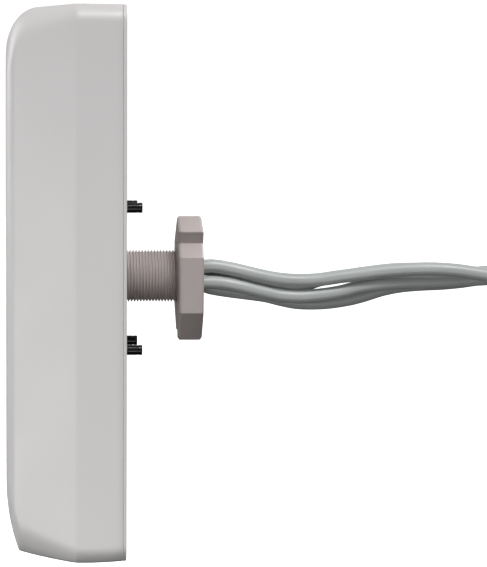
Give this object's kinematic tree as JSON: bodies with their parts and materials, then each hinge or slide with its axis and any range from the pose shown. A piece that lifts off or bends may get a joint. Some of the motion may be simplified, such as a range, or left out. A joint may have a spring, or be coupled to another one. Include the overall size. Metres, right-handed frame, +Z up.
{
  "type": "panel antenna",
  "caption": "Wall-mount radome panel antenna with a threaded cable stem, lobed hand nut, rear studs and coaxial pigtails with threaded plugs.",
  "frame": {"origin": "on the threaded stem's axis, in the rear plane of the back plate, which seats on the wall", "axes": "+X out of the back along the stem, away from the radome; +Z up along the panel's length; Y across its width"},
  "size_m": [0.2331, 0.124, 0.2874],
  "materials": {
    "radome_plastic": "light grey, fine satin moulding texture",
    "plate_plastic": "light grey, satin",
    "stem_plastic": "warm taupe grey, satin moulded",
    "black_rubber": "matt",
    "boot_tubing": "satin heat-shrink tubing",
    "black_oxide": "glossy black oxide",
    "screw_steel": "bright zinc",
    "aluminium_sheet": "rolled sheet",
    "brass": "satin",
    "white_nylon": "natural nylon",
    "cable_jacket": "semi-gloss grey plastic jacket",
    "nickel_plate": "satin nickel plate"
  },
  "bodies": {
    "antenna": {"radome": "radome_plastic", "back_plate": "plate_plastic", "threaded_stem": "stem_plastic", "rim_gasket": "black_rubber", "stem_seal": "black_rubber", "cable_grommet": "black_rubber", "plug_boot_1": "boot_tubing", "plug_boot_2": "boot_tubing", "plug_boot_3": "boot_tubing", "plug_boot_4": "boot_tubing", "rear_stud_1": "black_oxide", "rear_stud_2": "black_oxide", "rear_stud_3": "black_oxide", "rear_stud_4": "black_oxide", "cover_screw_1": "screw_steel", "cover_screw_2": "screw_steel", "cover_screw_3": "screw_steel", "cover_screw_4": "screw_steel", "cover_screw_5": "screw_steel", "cover_screw_6": "screw_steel", "ground_plane": "aluminium_sheet", "patch_1": "brass", "patch_2": "brass", "patch_3": "brass", "patch_4": "brass", "feed_pin_1": "brass", "feed_pin_2": "brass", "feed_pin_3": "brass", "feed_pin_4": "brass", "standoff_1": "white_nylon", "standoff_2": "white_nylon", "standoff_3": "white_nylon", "standoff_4": "white_nylon", "patch_spacer_1": "white_nylon", "patch_spacer_2": "white_nylon", "patch_spacer_3": "white_nylon", "patch_spacer_4": "white_nylon", "cable_tie": "white_nylon", "inner_coax_1": "cable_jacket", "inner_coax_2": "cable_jacket", "inner_coax_3": "cable_jacket", "inner_coax_4": "cable_jacket", "cable_lead_1": "cable_jacket", "cable_lead_2": "cable_jacket", "cable_lead_3": "cable_jacket", "cable_lead_4": "cable_jacket", "plug_body_1": "nickel_plate", "plug_body_2": "nickel_plate", "plug_body_3": "nickel_plate", "plug_body_4": "nickel_plate"},
    "washer": {"nut_washer": "stem_plastic"},
    "nut": {"clamp_nut": "stem_plastic"},
    "collar_1": {"plug_collar_1": "nickel_plate"},
    "collar_2": {"plug_collar_2": "nickel_plate"},
    "collar_3": {"plug_collar_3": "nickel_plate"},
    "collar_4": {"plug_collar_4": "nickel_plate"}
  },
  "joints": [
    {"name": "nut_travel", "type": "slide", "parent": "antenna", "child": "washer", "axis": [1, 0, 0], "range_m": [-0.0192, 0.0056]},
    {"name": "nut_spin", "type": "hinge", "parent": "washer", "child": "nut", "pos_m": [0.0246, 0, 0], "axis": [1, 0, 0], "range_deg": [-6170, 1795]},
    {"name": "collar_1_spin", "type": "hinge", "parent": "antenna", "child": "collar_1", "pos_m": [0.184, -0.027, -0.1819], "axis": [0, 0, 1], "continuous": true},
    {"name": "collar_2_spin", "type": "hinge", "parent": "antenna", "child": "collar_2", "pos_m": [0.184, -0.009, -0.1841], "axis": [0, 0, 1], "continuous": true},
    {"name": "collar_3_spin", "type": "hinge", "parent": "antenna", "child": "collar_3", "pos_m": [0.184, 0.009, -0.1835], "axis": [0, 0, 1], "continuous": true},
    {"name": "collar_4_spin", "type": "hinge", "parent": "antenna", "child": "collar_4", "pos_m": [0.184, 0.027, -0.1815], "axis": [0, 0, 1], "continuous": true}
  ],
  "couplings": [
    {"joint": "nut_travel", "follows": "nut_spin", "m_per_rad": 0.00017825}
  ]
}
